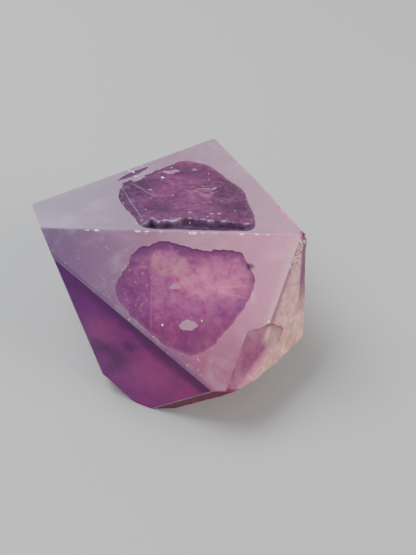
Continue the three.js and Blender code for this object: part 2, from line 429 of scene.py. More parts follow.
# %% Where the chips are
CHIPS = [
    ((54.4, 3.3, -4.6), 1.3), ((45.6, 2.8, -3.2), 0.7), ((20.5, -11.4, -12.9), 0.32),
    ((31.6, -17.1, -19.5), 0.32), ((38.8, -21.0, -24.0), 0.7),
]
NICK_STRETCH = 2.0
RIDGE_NICKS = [
    (8.6, 0.2), (10.4, 0.24), (18.2, 0.26), (19.9, 0.22), (22.6, 0.16), (28.7, 0.42),
    (30.6, 0.22), (33.4, 0.18), (38.3, 0.34), (41.3, 0.24), (43.5, 0.2),
]
CRUSHED = 70
CRUSHED_FROM, CRUSHED_TO = 20.2, 11.2
CRUSHED_LEVELS = (-42.0, -40.1)
CRUSHED_SIZES = (0.14, 0.42)
DEEPEST = 0.6
LEDGE_CHIPS = [
    (0.1, -39.7, 0.3), (-0.7, -38.6, 0.2), (-2.2, -37.2, 0.2), (-4.0, -35.3, 0.34),
    (-4.6, -34.9, 0.2),
]
FLECKS = [
    (13.6, 24.8), (14.3, 23.9), (15.7, 22.9), (16.8, 26.9), (16.5, 22.3), (17.2, 20.5),
    (18.4, 25.2), (19.8, 14.6), (23.0, 20.5), (23.5, 12.6), (47.0, 12.6),
]
FLECK_SIZES = (0.2, 0.48)
EDGE_FLAKES = [
    (46.9, 11.2, 0.9), (47.4, 9.8, 1.2), (47.9, 8.4, 1.1), (48.3, 7.0, 1.3), (48.7, 5.7, 1.1),
    (49.1, 4.4, 0.9),
]
FLAKE_LIFT = 0.55
CHIP_ROUGHNESS = (0.82, 1.12)
print("knocked corners:", len(CHIPS), "nicks along the ridge:", len(RIDGE_NICKS))


# %% Chip the edges
def chip(name, place, radius, seed, finish=CHIPPED, stretch=1.0):
    """A rough little ball that knocks out a chip. A stretch lengthens it along the ridge."""
    dice = random.Random(seed)
    bm = bmesh.new()
    bmesh.ops.create_icosphere(bm, subdivisions=2, radius=radius)
    for vert in bm.verts:
        vert.co *= dice.uniform(*CHIP_ROUGHNESS)
    bmesh.ops.scale(bm, vec=(stretch, 1, 1), verts=bm.verts)
    bmesh.ops.translate(bm, vec=place, verts=bm.verts)
    return to_object(bm, name, [stand_ins[finish]])


chips = []
for i, (at, radius) in enumerate(CHIPS):
    chips.append(chip(f"chip_{i}", APEX + Vector(at), radius, i, BROKEN))
for i, (along, radius) in enumerate(RIDGE_NICKS):
    place = ridge_tip + ridge * along
    chips.append(chip(f"nick_{i}", place, radius, 20 + i, stretch=NICK_STRETCH))
dice = random.Random(8)
for i in range(CRUSHED):
    along = CRUSHED_FROM + (CRUSHED_TO - CRUSHED_FROM) * i / CRUSHED
    radius = dice.uniform(*CRUSHED_SIZES)
    out = PRISM_REACH[FRONT] - dice.uniform(0, DEEPEST) * radius
    place = APEX + prism_normals[FRONT] * out
    place += front_across * along + axis * dice.uniform(*CRUSHED_LEVELS)
    chips.append(chip(f"crushed_{i}", place, radius, 40 + i))
for i, (along, level, radius) in enumerate(LEDGE_CHIPS):
    place = APEX + prism_normals[FRONT] * PRISM_REACH[FRONT]
    place = place + front_across * along + axis * level
    chips.append(chip(f"ledge_chip_{i}", place, radius, 110 + i))
top_away = pyramid_normals[TOP].cross(ridge)
for i, (along, away) in enumerate(FLECKS):
    place = ridge_tip + ridge * along + top_away * away
    chips.append(chip(f"fleck_{i}", place, dice.uniform(*FLECK_SIZES), 120 + i))
for i, (along, away, radius) in enumerate(EDGE_FLAKES):
    place = ridge_tip + ridge * along + top_away * away
    place = place + pyramid_normals[TOP] * (radius * FLAKE_LIFT)
    chips.append(chip(f"flake_{i}", place, radius, 150 + i, BROKEN))
print("chips:", len(chips))

# %% [markdown]
# ## The two hollows
#
# A hollow is the natural skin of the crystal, left where the wheel never reached it. Its outline
# is where that skin dips below the ground face, so it isn't drawn as a line: a height is worked
# out for the whole skin, and the outline is wherever that height crosses the face. Close to the
# rim the skin falls away in small scallops. The floor starts shallow there and sinks gently into
# a few dishes that meet in soft crests, the way quartz flakes. Islands of ground face still stand
# in it, and one hollow drops into a trough along the ridge, with a ragged crest beside it.
#
# All places are in millimetres on the face: along the ridge from its tip, and away from it.

# %% Outlines and dishes
TOP_HOLLOW = dict(
    outline=[
        (13.8, 12.1), (15.0, 17.6), (17.8, 18.9), (20.8, 22.4), (24.9, 25.8), (28.0, 28.0),
        (31.5, 27.2), (34.4, 25.2), (37.3, 20.4), (40.2, 16.2), (40.8, 11.5), (41.5, 5.7),
        (40.7, 1.6), (36.1, 0.8), (27.0, 0.8), (19.5, 1.1), (17.4, 4.4), (15.2, 8.3),
    ],
    islands=[((24.4, 22.7), (1.2, 0.6)), ((25.9, 23.3), (1.0, 0.5)), ((30.2, 24.0), (0.5, 0.3))],
    dishes=[((21, 12), (10, 9), 0.6), ((33, 14), (12, 11), 0.9), ((29, 22), (8, 8), 0.6)],
    crest=[
        (14, 0), (16.3, 0.9), (18.7, 1.6), (19.9, 3.4), (20.8, 5.0), (22.0, 3.4), (23.4, 4.3),
        (25.0, 3.9), (26.9, 5.2), (29.8, 5.2), (32.6, 4.5), (35.0, 4.6), (37.2, 3.9), (42, 3.4),
    ],
    trough=1.7, wall_slope=0.6, floor=0.15, size=(34, 34), middle=(27.5, 14),
    scallop=0.16, scallop_pitch=1.9, jagged=0.9,
)
FRONT_HOLLOW = dict(
    outline=[
        (20.9, 2.4), (23.3, 1.9), (27.0, 2.6), (30.9, 3.4), (37.4, 3.4), (39.4, 5.6), (40.9, 8.6),
        (40.1, 12.1), (38.0, 15.8), (34.8, 19.5), (32.0, 22.5), (28.5, 23.5), (24.9, 22.3),
        (20.0, 18.8), (16.5, 15.4), (14.3, 12.0), (14.9, 9.3), (16.5, 6.4), (17.3, 4.2),
    ],
    islands=[((28.1, 17.9), (1.6, 1.0)), ((25.6, 10.6), (1.1, 0.5))],
    dishes=[((20, 10), (8, 8), 0.4), ((31, 11), (11, 9), 0.5), ((29, 19), (9, 7), 0.4)],
    crest=None,
    trough=0, wall_slope=0.4, floor=0.12, size=(34, 30), middle=(27.5, 12.5),
    scallop=0.34, scallop_pitch=1.4, jagged=0,
)
SPLINTER = dict(middle=(16.6, 21.4), turn=44.6, half_length=4.8, half_width=0.75, torn=0.35)
ISLAND_SLOPE = 0.35
ISLAND_RAGGED = 0.30
SCALLOPS_TO = 2.5
DISH_FROM_RIM = 4.5
JAGGED_TO, JAGGED_FROM = 27, 13
TEETH = 2.5
CREST_RAGGED = 0.22
CREST_FALL = 0.8
FLOOR_WAVES = 0.10
HOLLOW_CELL = 0.26
OUTLINE_STEPS = 6
print("outlines:", len(TOP_HOLLOW["outline"]), "and", len(FRONT_HOLLOW["outline"]), "points")


# %% Outlines as curves
def smooth_outline(hollow):
    """A closed curve through the points of the hollow's outline, as many short lines."""
    points = [Vector(point) for point in hollow["outline"]]
    count = len(points)
    curve = []
    for i, here in enumerate(points):
        before, after, beyond = points[i - 1], points[(i + 1) % count], points[(i + 2) % count]
        for step in range(OUTLINE_STEPS):
            t = step / OUTLINE_STEPS
            curve.append(0.5 * (
                2 * here + (after - before) * t
                + (2 * before - 5 * here + 4 * after - beyond) * t ** 2
                + (3 * here - before - 3 * after + beyond) * t ** 3
            ))
    return np.array([tuple(point) for point in curve])


def inset_from(curve, u, v):
    """How far each point lies inside a closed curve; negative outside it."""
    nearest = np.full(u.shape, np.inf)
    inside = np.zeros(u.shape, bool)
    for start, end in zip(np.roll(curve, 1, axis=0), curve):
        du, dv = end - start
        t = np.clip(((u - start[0]) * du + (v - start[1]) * dv) / (du * du + dv * dv), 0, 1)
        nearest = np.minimum(nearest, np.hypot(u - start[0] - t * du, v - start[1] - t * dv))
        if start[1] != end[1]:
            spans = (start[1] > v) != (end[1] > v)
            inside ^= spans & (u < start[0] + (v - start[1]) * du / dv)
    return np.where(inside, nearest, -nearest)


for hollow in (TOP_HOLLOW, FRONT_HOLLOW):
    print("outline:", len(smooth_outline(hollow)), "short lines")


# %% Scallops, teeth and islands
def in_ellipse(u, v, middle, radii):
    """Distance from an ellipse's middle, where 1 is its edge."""
    return np.hypot((u - middle[0]) / radii[0], (v - middle[1]) / radii[1])


def splinter_inset(u, v):
    """Distance inside the long thin flake that sprang off beside the top hollow."""
    turn = math.radians(SPLINTER["turn"])
    du, dv = u - SPLINTER["middle"][0], v - SPLINTER["middle"][1]
    along = du * math.cos(turn) + dv * math.sin(turn)
    aside = np.abs(dv * math.cos(turn) - du * math.sin(turn))
    torn = SPLINTER["torn"] * cloud(u, v, 0.9, 5.7, 2) * smooth_step(along, -3.5, 0)
    return SPLINTER["half_width"] * (1 - (along / SPLINTER["half_length"]) ** 2) - aside + torn


def rim_inset(hollow, curve, u, v):
    """Distance inside the hollow's rim with its scallops, and jagged where the rim splintered."""
    inset = inset_from(curve, u, v)
    fade = smooth_step(inset, SCALLOPS_TO, 0)
    inset = inset + hollow["scallop"] * fade * cloud(u, v, hollow["scallop_pitch"], 3.1, 2)
    if hollow["jagged"]:
        torn = smooth_step(u, JAGGED_TO, JAGGED_TO - 6)
        torn = torn * smooth_step(v, JAGGED_FROM, JAGGED_FROM + 4)
        teeth = ledges(TEETH * cloud(u, v, 1.7, 6.3, 3)) / TEETH
        inset = inset + hollow["jagged"] * fade * torn * teeth
        inset = np.maximum(inset, splinter_inset(u, v))
    return inset


def hollow_inset(hollow, curve, u, v):
    """The same, with the islands of ground face that stand in the hollow."""
    inset = rim_inset(hollow, curve, u, v)
    ragged = ISLAND_RAGGED * cloud(u, v, 1.1, 8.8, 3)
    for middle, radii in hollow["islands"]:
        beside = (in_ellipse(u, v, middle, radii) - 1) * min(radii) + ragged
        inset = np.minimum(inset, np.where(beside > 0, ISLAND_SLOPE * beside, beside))
    return inset


print("islands:", len(TOP_HOLLOW["islands"]), "and", len(FRONT_HOLLOW["islands"]))


# %% The floor of a hollow
def below_crest(hollow, u, v):
    """How far a point lies on the ridge's side of the frayed crest that borders the trough."""
    crest_u, crest_v = zip(*hollow["crest"])
    return np.interp(u, crest_u, crest_v) - v + CREST_RAGGED * cloud(u, v, 1.6, 9.2, 3)


def hollow_depth(hollow, inset, u, v):
    """How deep the floor lies: shallow at the rim, where the wall is thin, and full inside."""
    depth = np.full(u.shape, float(hollow["floor"]))
    for middle, radii, deepest in hollow["dishes"]:
        depth = np.maximum(depth, deepest * (1 - in_ellipse(u, v, middle, radii) ** 2))
    depth = depth + FLOOR_WAVES * cloud(u, v, 6.0, 1.7, 3)
    depth = hollow["floor"] + (depth - hollow["floor"]) * smooth_step(inset, 0, DISH_FROM_RIM)
    if hollow["crest"]:
        fall = smooth_step(below_crest(hollow, u, v), 0, CREST_FALL)
        depth = np.maximum(depth, hollow["trough"] * fall)
    return depth


print("dishes reach their depth", DISH_FROM_RIM, "mm from the rim")


# %% The sheets of the hollows
def hollow_sheet(name, hollow, face, side, finish):
    """The cutting sheet of one hollow. side is -1 where the face falls away below the ridge."""
    normal = pyramid_normals[face]
    away = normal.cross(ridge) * side
    curve = smooth_outline(hollow)
    middle = hollow["middle"]

    def relief(u, v):
        u, v = middle[0] + u, middle[1] + side * v
        inset = hollow_inset(hollow, curve, u, v)
        floor = -hollow_depth(hollow, inset, u, v)
        return np.minimum(CLEARANCE, np.maximum(-hollow["wall_slope"] * inset, floor))

    origin = ridge_tip + ridge * middle[0] + away * middle[1]
    return cutting_sheet(name, origin, normal, ridge, hollow["size"], HOLLOW_CELL, relief, finish)


cutters.append(hollow_sheet("top_hollow", TOP_HOLLOW, TOP, 1, TOP_FLOOR))
cutters.append(hollow_sheet("front_hollow", FRONT_HOLLOW, FRONT, -1, FRONT_FLOOR))
print("sheets:", len(cutters))

# %% [markdown]
# ## All cuts at once
#
# Each ball and sheet becomes a Boolean modifier on the crystal, and the result of the whole stack
# is kept as a plain mesh. A cut can still go wrong without a word: it can set a crumb loose, leave
# a bubble inside, or leave slivers where two cuts nearly meet. So the loose shells are dropped,
# the slivers are dissolved, and the volume and the edges are measured. A real stone is one closed
# shell of a known size, and the script stops if this one isn't.

# %% Cut the crystal
def carve(thing, tools):
    """Subtracts each tool from the thing, and keeps the result as a plain mesh."""
    for tool in tools:
        cut = thing.modifiers.new(tool.name, "BOOLEAN")
        cut.operation = "DIFFERENCE"
        cut.solver = "MANIFOLD"
        cut.material_mode = "TRANSFER"
        cut.object = tool
    depsgraph = bpy.context.evaluated_depsgraph_get()
    mesh = bpy.data.meshes.new_from_object(thing.evaluated_get(depsgraph))
    thing.modifiers.clear()
    thing.data = mesh
    for tool in tools:
        bpy.data.objects.remove(tool)


carve(crystal, chips + cutters)
print("cut with", len(chips), "balls and", len(cutters), "sheets")

# %% Leave one clean shell
LEAST_VOLUME, MOST_VOLUME = 53000, 57500
SHORTEST_EDGE = 0.0003


def drop_crumbs(bm):
    """Deletes every shell but the largest: crumbs that a cut set loose, and bubbles inside."""
    unseen, shells = set(bm.faces), []
    while unseen:
        shell, front = [], [unseen.pop()]
        while front:
            face = front.pop()
            shell.append(face)
            beside = {other for edge in face.edges for other in edge.link_faces} & unseen
            unseen -= beside
            front += beside
        shells.append(shell)
    shells.sort(key=len)
    crumbs = [face for shell in shells[:-1] for face in shell]
    bmesh.ops.delete(bm, geom=crumbs, context="FACES")
    print("crumbs dropped:", len(shells) - 1, "with", len(crumbs), "faces")


def clean_and_check(thing):
    """Leaves one clean shell. Stops the script if it isn't whole or of the right size."""
    bm = bmesh.new()
    bm.from_mesh(thing.data)
    drop_crumbs(bm)
    bmesh.ops.dissolve_degenerate(bm, dist=SHORTEST_EDGE, edges=bm.edges)
    bm.to_mesh(thing.data)
    volume = bm.calc_volume()
    open_edges = sum(not edge.is_manifold for edge in bm.edges)
    bm.free()
    if open_edges or not LEAST_VOLUME < volume < MOST_VOLUME:
        raise RuntimeError(f"the cut failed: {volume:.0f} cubic mm, {open_edges} open edges")
    return volume


volume = clean_and_check(crystal)
print("carved:", len(crystal.data.polygons), "faces,", round(volume), "cubic mm")

# %% [markdown]
# ## Into the frame
#
# The stone goes from millimetres to metres, in the mesh itself, so that its object stays at the
# origin, unturned and unscaled. Then the frame is told what it is: it rests with the root body and
# it takes the place of the CAD model's node. Its material, the amethyst, is given later.

# %% Back to metres
MM = 0.001
PER_METRE = 1000

crystal.data.transform(Matrix.Scale(MM, 4))
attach(crystal, "root")
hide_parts("amethyst_point")
print("size in metres:", [round(side, 4) for side in crystal.dimensions])

# %% [markdown]
# ## Marks that the finish follows
#
# The surface has seven finishes, and light passes through all of them into the same stone. If each
# were a material of its own, light would enter through one and leave through another, and the
# colour of the stone between them would be lost. So the crystal has one material, and small
# marks on the mesh tell it which finish each face has, where the front hollow's dark upper rim
# is, where the top hollow's trough and its frayed crest run, and where the edges of both are.

# %% Write the marks
RIM_WIDTH = 2.2
EDGE_WIDTH = 0.8
RIM_TO = 7.0
TROUGH_EDGE = 0.5
FRAY_WIDTH = 0.22
NEAR_FACE = 4


def write_mark(mesh, name, domain, values):
    """A mark with a value on each face, or at each point, of the mesh."""
    found = mesh.attributes.new(name, "FLOAT", domain)
    found.data.foreach_set("value", values.astype(np.float32))


mesh = crystal.data
finish_of_slot = np.array([FINISHES.index(material.name) for material in mesh.materials])
slots = np.zeros(len(mesh.polygons), int)
mesh.polygons.foreach_get("material_index", slots)
finish = finish_of_slot[slots]
for number, name in enumerate(FINISHES):
    write_mark(mesh, name, "FACE", finish == number)
    print(name, int((finish == number).sum()), "faces")

places = np.zeros(len(mesh.vertices) * 3)
mesh.vertices.foreach_get("co", places)
places = places.reshape(-1, 3) * PER_METRE


# %% Marks near the hollows
def on_face(face, side):
    """The points near a ground face, and their places along the ridge and away from it."""
    offset = places - np.array(ridge_tip)
    normal = pyramid_normals[face]
    away = normal.cross(ridge) * side
    near = np.abs(offset @ np.array(normal)) < NEAR_FACE
    return near, (offset @ np.array(ridge))[near], (offset @ np.array(away))[near]


rim, trough, fray, edge = (np.zeros(len(places)) for _ in range(4))

near, u, v = on_face(FRONT, -1)
inset = rim_inset(FRONT_HOLLOW, smooth_outline(FRONT_HOLLOW), u, v)
width = RIM_WIDTH * np.maximum(1 + cloud(u, v, 1.2, 2.9, 3), 0.2)
upper = (1 - smooth_step(inset / width, 0.45, 1)) * smooth_step(v, RIM_TO, RIM_TO - 4)
all_round = 0.5 * (1 - smooth_step(inset / width, 0.1, 0.6))
rim[near] = np.maximum(upper, all_round)
edge[near] = 1 - smooth_step(inset, EDGE_WIDTH / 2, EDGE_WIDTH)

near, u, v = on_face(TOP, 1)
below = below_crest(TOP_HOLLOW, u, v)
trough[near] = smooth_step(below, 0, TROUGH_EDGE)
inset = rim_inset(TOP_HOLLOW, smooth_outline(TOP_HOLLOW), u, v)
edge[near] = np.maximum(edge[near], 1 - smooth_step(inset, EDGE_WIDTH / 2, EDGE_WIDTH))
strands = np.clip(0.35 + 1.3 * cloud(u, v, 1.1, 4.4, 3), 0, 1)
fray[near] = np.exp(-(below / FRAY_WIDTH) ** 2) * strands
for name, values in dict(rim=rim, trough=trough, fray=fray, edge=edge).items():
    write_mark(mesh, name, "POINT", values)
print("marked", int((rim > 0).sum()), "rim points and", int((trough > 0.5).sum()), "trough points")

# %% [markdown]
# ## Crisp and smooth
#
# Ground and grown faces are flat. Broken and hollow ones are smooth shells that meet in crisp
# crests. Flat shading on the first and smooth shading on the second says so, and every edge that
# turns by more than `CREST_ANGLE` is marked sharp, so that the light breaks there.

# %% Shade the faces
CREST_ANGLE = math.radians(24)


def set_shading(thing):
    """Flat on planes, smooth on shells, sharp along their crests."""
    bm = bmesh.new()
    bm.from_mesh(thing.data)
    for face in bm.faces:
        face.smooth = bool(finish[face.index] in (BROKEN, TOP_FLOOR, FRONT_FLOOR))
        face.material_index = 0
    crests = 0
    for edge in bm.edges:
        edge.smooth = edge.calc_face_angle(0) < CREST_ANGLE
        crests += not edge.smooth
    bm.to_mesh(thing.data)
    bm.free()
    return crests


print("sharp edges:", set_shading(crystal))

# %% [markdown]
# ## The stone
#
# Amethyst is clear quartz coloured violet by traces of iron, most of it near the tip, and often
# pale or smoky yellow towards the bed. The depth of its colour comes from light that travels
# through it, so the volume absorbs green and lets red and violet pass. The surface adds what
# only the surface has: ground faces scatter light like frosted glass and look milky, hollows and
# natural faces are clear, and broken quartz is pale with fine ripples. The colours below are
# plain red, green and blue steps from 0 to 255, which `paint` turns into a shader's own values.

# %% Colours of the stone
VIOLET = (84, 34, 124)
PURPLE = (118, 40, 128)
ORCHID = (158, 54, 128)
ROSE = (204, 118, 148)
SMOKY = (214, 158, 128)
TAN = (230, 182, 168)
MILK = (206, 194, 206)
INK = (34, 18, 56)
PLUM = (88, 14, 72)
GLOW = (250, 136, 178)
VEIL = (196, 142, 154)
FRAY = (176, 166, 196)
GLINT = (250, 236, 236)

for material in stand_ins:
    bpy.data.materials.remove(material)
amethyst = bpy.data.materials.new("amethyst")
amethyst.use_nodes = True
crystal.data.materials.clear()
crystal.data.materials.append(amethyst)
nodes, links = amethyst.node_tree.nodes, amethyst.node_tree.links
nodes.clear()


def linear(step):
    """One part of a colour, in 0 to 255 steps, as the linear value that a shader takes."""
    value = step / 255
    return value / 12.92 if value <= 0.04045 else ((value + 0.055) / 1.055) ** 2.4


def paint(colour):
    """A colour in 0 to 255 steps, made ready for a shader. A socket stays as it is."""
    return (*map(linear, colour), 1) if isinstance(colour, tuple) else colour


print("material:", amethyst.name)

# %% [markdown]
# A shader is a net of small nodes, and a few helpers make it read like a list of layers. Each one
# makes a node or two and gives back the output that the next one takes. Where a colour changes
# over the stone, a helper says where: by noise, by the distance along a direction, or by a soft
# ellipse on a face.

# %% Nodes and mixes
def node(kind, inputs=None, **settings):
    """A node of that kind. Its properties are set first, because its inputs depend on them."""
    made = nodes.new("ShaderNode" + kind)
    for name, value in settings.items():
        setattr(made, name, value)
    for name, value in (inputs or {}).items():
        if isinstance(value, bpy.types.NodeSocket):
            links.new(value, made.inputs[name])
        else:
            made.inputs[name].default_value = value
    return made


def mark(name):
    """The value of a mark on the mesh."""
    return node("Attribute", attribute_name=name).outputs["Fac"]


def mix_colour(amount, first, second):
    """Goes from the first colour to the second by amount."""
    colours = {0: amount, 6: paint(first), 7: paint(second)}
    return node("Mix", colours, data_type="RGBA").outputs[2]


def mix_value(amount, first, second):
    """Goes from the first number to the second by amount."""
    return node("Mix", {0: amount, 2: first, 3: second}, data_type="FLOAT").outputs[0]


print("helpers for nodes")


# %% Sums and ramps
def math_node(operation, first, second=0.0):
    """One sum on two numbers."""
    return node("Math", {0: first, 1: second}, operation=operation).outputs[0]


def times(first, *others):
    """The product of two numbers or more."""
    for other in others:
        first = math_node("MULTIPLY", first, other)
    return first


def plus(first, second):
    """The sum of two numbers."""
    return math_node("ADD", first, second)


def minus(first, second):
    """The first number less the second."""
    return math_node("SUBTRACT", first, second)


def ease(value, low, high, first=0.0, second=1.0):
    """Eases from the first number at low to the second at high."""
    return node("MapRange", interpolation_type="SMOOTHSTEP", inputs={
        "Value": value, "From Min": low, "From Max": high, "To Min": first, "To Max": second,
    }).outputs["Result"]


def ramp(value, stops):
    """A colour ramp through (place, colour) stops."""
    made = node("ValToRGB", {"Fac": value})
    elements = made.color_ramp.elements
    while len(elements) < len(stops):
        elements.new(0.5)
    for element, (place, colour) in zip(elements, stops):
        element.position = place
        element.color = paint(colour)
    return made.outputs["Color"]


print("helpers for sums")

# %% Noise
position = node("TexCoord").outputs["Object"]


def speckle(scale, detail, roughness=0.5, distortion=0.0):
    """Noise over the whole stone, from 0 to 1, with scale features in a metre."""
    return node("TexNoise", {
        "Vector": position, "Scale": scale, "Detail": detail,
        "Roughness": roughness, "Distortion": distortion,
    }).outputs["Fac"]


def sparks(scale, share, size):
    """Tiny dots, of which only that share shows, with scale of them in a metre."""
    cells = node("TexVoronoi", {"Vector": position, "Scale": scale}).outputs
    shown = math_node("LESS_THAN", cells["Color"], share)
    return times(shown, ease(cells["Distance"], size, size / 2))


print("helpers for noise")

# %% Places on the stone
SHAKE = dict(Scale=420, Detail=3)
STREAK_STRETCH = 0.22


def along_direction(direction, start=ridge_tip):
    """Millimetres along a direction from a start, which is the tip end of the ridge."""
    offset = node("VectorMath", {0: position, 1: start * MM}, operation="SUBTRACT")
    in_mm = {0: offset.outputs[0], 1: direction * PER_METRE}
    return node("VectorMath", in_mm, operation="DOT_PRODUCT").outputs["Value"]


def below_face(normal, reach=0):
    """Millimetres below the face with that normal, which stands that far out from the apex."""
    return along_direction(-normal, APEX + normal * reach)


def place_in(first, second, wobble=0.0, start=ridge_tip):
    """Millimetres along two directions, shaken a little so that edges are ragged."""
    flat = node("CombineXYZ", {
        "X": along_direction(first, start), "Y": along_direction(second, start),
    }).outputs[0]
    if not wobble:
        return flat
    shake = node("TexNoise", {"Vector": position, **SHAKE}).outputs["Color"]
    centred = node("VectorMath", {0: shake, 1: (0.5,) * 3}, operation="SUBTRACT").outputs[0]
    spread = node("VectorMath", {0: centred, "Scale": wobble}, operation="SCALE").outputs[0]
    return node("VectorMath", {0: flat, 1: spread}, operation="ADD").outputs[0]


def streaks(place, scale, low, high):
    """Fine streaks that run along X on a face."""
    drawn = node("Mapping", {"Vector": place, "Scale": (STREAK_STRETCH, 1, 1)}).outputs[0]
    streak = node("TexNoise", {"Vector": drawn, "Scale": scale, "Detail": 4, "Roughness": 0.6})
    return ease(streak.outputs["Fac"], low, high)


def patch(place, middle, radii, turn=0.0, soft=0.35):
    """1 in an ellipse on a face and 0 outside it, with an edge as soft as asked."""
    unit = node("Mapping", vector_type="TEXTURE", inputs={
        "Vector": place, "Location": (*middle, 0), "Rotation": (0, 0, math.radians(turn)),
        "Scale": (*radii, 1),
    })
    reach = node("VectorMath", {0: unit.outputs[0]}, operation="LENGTH").outputs["Value"]
    return ease(reach, 1 - soft, 1 + soft, 1.0, 0.0)


print("helpers for places")

# %% Layers of colour
def blend(amount, first, second, share=1.0):
    """Goes from the first colour towards the second by a share of amount."""
    return mix_colour(times(amount, share), first, second)


def layered(colour, *layers):
    """Paints layers over a colour. Each says where it lies, its colour and its share."""
    for where, over, share in layers:
        colour = blend(where, colour, over, share)
    return colour


def spotted(colour, place, spots, over, share, soft, within=None):
    """Paints soft ellipses: middle, radii and turn of each, and its colour if it has its own."""
    for middle, radii, turn, *own in spots:
        where = patch(place, middle, radii, turn, soft)
        if within is not None:
            where = times(where, within)
        colour = blend(where, colour, own[0] if own else over, share)
    return colour


print("helpers for layers")

# %% [markdown]
# ### Colour through the stone
#
# From the tip to the bed the colour goes from violet through orchid and rose to a smoky tan.
# Clouds make it darker here and lighter there, and finer mottles and depths break up each finish.

# %% Zones and clouds
zone_length = along_direction(-axis)
wander = times(minus(speckle(42, 3), 0.5), 0.30)
zone = plus(times(zone_length, 1 / LENGTH), wander)
body = ramp(zone, [
    (0.0, VIOLET), (0.24, PURPLE), (0.50, ORCHID), (0.74, ROSE), (0.95, SMOKY),
])
clouds = ease(speckle(110, 5, 0.6, 0.8), 0.42, 0.66)
mottles = ease(speckle(330, 6, 0.6, 0.2), 0.32, 0.70)
smears = ease(speckle(150, 6, 0.62, 0.4), 0.42, 0.70)
weave = ease(speckle(1100, 4, 0.7), 0.35, 0.68)
depths = speckle(540, 6, 0.72, 0.5)
dark_depths = ease(depths, 0.51, 0.36)
light_depths = ease(depths, 0.52, 0.66)
print("zones and clouds:", len(nodes), "nodes so far")

# %% [markdown]
# ### Ground faces
#
# Ground quartz is milky, and what shines through it tints it. The top face goes from a cool lilac
# at the tip to a warmer one at the right. The front face is thinner frost: violet grey at the tip,
# pink towards the right and deeper below, with a painted highlight along its right edge and three
# painted pink glows. Fine pale dots on both faces are partly pale frost and partly painted glints.

# %% Ground faces
FROST_LENGTH = 50
TOP_FROST = [
    (3, (144, 130, 152)), (17, (142, 118, 141)), (30, (146, 109, 132)), (48, (172, 131, 151)),
]
FRONT_FROST = [
    (2, (98, 72, 108)), (15, (132, 92, 126)), (27, (170, 112, 136)), (46, (208, 134, 164)),
]
# Painted glows: pink light from inside the stone, painted onto the front frost.
FROST_GLOWS = [
    ((45.4, 3.8), (1.7, 1.1), 0), ((48.0, 1.7), (0.7, 0.9), 0), ((40.6, 12.1), (0.7, 1.1), 0),
]

along_ridge = along_direction(ridge)
front_down = -pyramid_normals[FRONT].cross(ridge)
down_front = along_direction(front_down)
below_front = along_direction(-pyramid_normals[FRONT])
below_prism = below_face(prism_normals[FRONT], PRISM_REACH[FRONT])
on_front = ease(below_front, 0.10, 0.30, 1.0, 0.0)


def frost(stops):
    """Colours along the ridge, each with its place in millimetres."""
    share = times(along_ridge, 1 / FROST_LENGTH)
    return ramp(share, [(place / FROST_LENGTH, colour) for place, colour in stops])


beside_grown = times(
    ease(below_face(pyramid_normals[LOWER_LEFT]), 2.2, 0.5), ease(along_ridge, 36, 24)
)
front_frost = layered(
    frost(FRONT_FROST),
    (ease(down_front, 12, 27), (150, 70, 104), 0.9),
    # painted highlight: a pale band along the front face's right edge stands in for light on its
    # bevel
    (ease(below_prism, 0.9, 0.1), TAN, 0.50),
    (beside_grown, (112, 76, 116), 0.65),
    (smears, MILK, 0.22),
)
# The front frost gets its painted pink glows.
shaken = place_in(ridge, front_down, 2.0)
front_frost = spotted(front_frost, shaken, FROST_GLOWS, (226, 164, 186), 0.5, 0.9)
top_frost = blend(smears, frost(TOP_FROST), MILK, 0.16)
ground_colour = mix_colour(on_front, top_frost, front_frost)
# Fine pale dots on the ground faces: partly pale frost, partly painted glints.
pale_dots_and_glints = ease(speckle(1500, 2), 0.68, 0.74)
ground_colour = blend(pale_dots_and_glints, ground_colour, GLINT, 0.30)
print("ground faces:", len(nodes), "nodes so far")

# %% [markdown]
# ### The grown face
#
# At the lower left, clear and deep: violet at the tip and magenta below. Its dark patches and its
# two rosy glows are painted shade and painted light: what shows through the clear face from inside
# the stone. A band of painted shade lies below the ridge, because the ground edge above it lets no
# light in.

# %% The grown face
GROWN_WIDTH = 40
GROWN_COLOURS = [
    (0.05, (82, 12, 96)), (0.34, (122, 16, 124)), (0.65, (150, 26, 126)), (1.0, (160, 40, 112)),
]
# Painted glows: the light that shows through the grown face from inside the stone.
GLOWS = [
    ((16.2, -18.6), (4.2, 3.0), 30, (184, 78, 132)),
    ((28.5, -25.0), (6.5, 4.0), 20, (186, 70, 136)),
]
# Painted shade: dark patches where the grown face shows the shade inside the stone.
PAINTED_SHADE_PATCHES = [
    ((20.9, -25.4), (3.0, 1.5), 50), ((18.0, -22.6), (3.0, 1.6), 0),
    ((23.6, -19.8), (1.6, 1.0), 10),
]

grown_level = level_in(pyramid_normals[LOWER_LEFT])
grown_up = pyramid_normals[LOWER_LEFT].cross(grown_level)
grown = place_in(grown_level, grown_up, 3.0, APEX)
across_grown = along_direction(grown_level, APEX)
grown_colour = ramp(times(across_grown, 1 / GROWN_WIDTH), GROWN_COLOURS)
grown_colour = blend(mottles, grown_colour, (84, 10, 100), 0.40)
# The painted glows, then the patches of painted shade.
grown_colour = spotted(grown_colour, grown, GLOWS, None, 0.42, 0.9)
grown_colour = spotted(grown_colour, grown, PAINTED_SHADE_PATCHES, (74, 4, 74), 0.72, 1.0)
# Painted shade: a dark band below the ridge, where the ground edge above lets no light in.
band_foot = plus(below_front, times(minus(speckle(190, 4), 0.5), 3.2))
painted_shade_band = times(
    ease(below_front, 0.05, 0.35), ease(band_foot, 1.2, 2.8, 1.0, 0.0),
    ease(across_grown, 6, 24, 0.3, 1.0),
)
grown_colour = blend(painted_shade_band, grown_colour, (84, 8, 88), 0.80)
print("grown face:", len(nodes), "nodes so far")
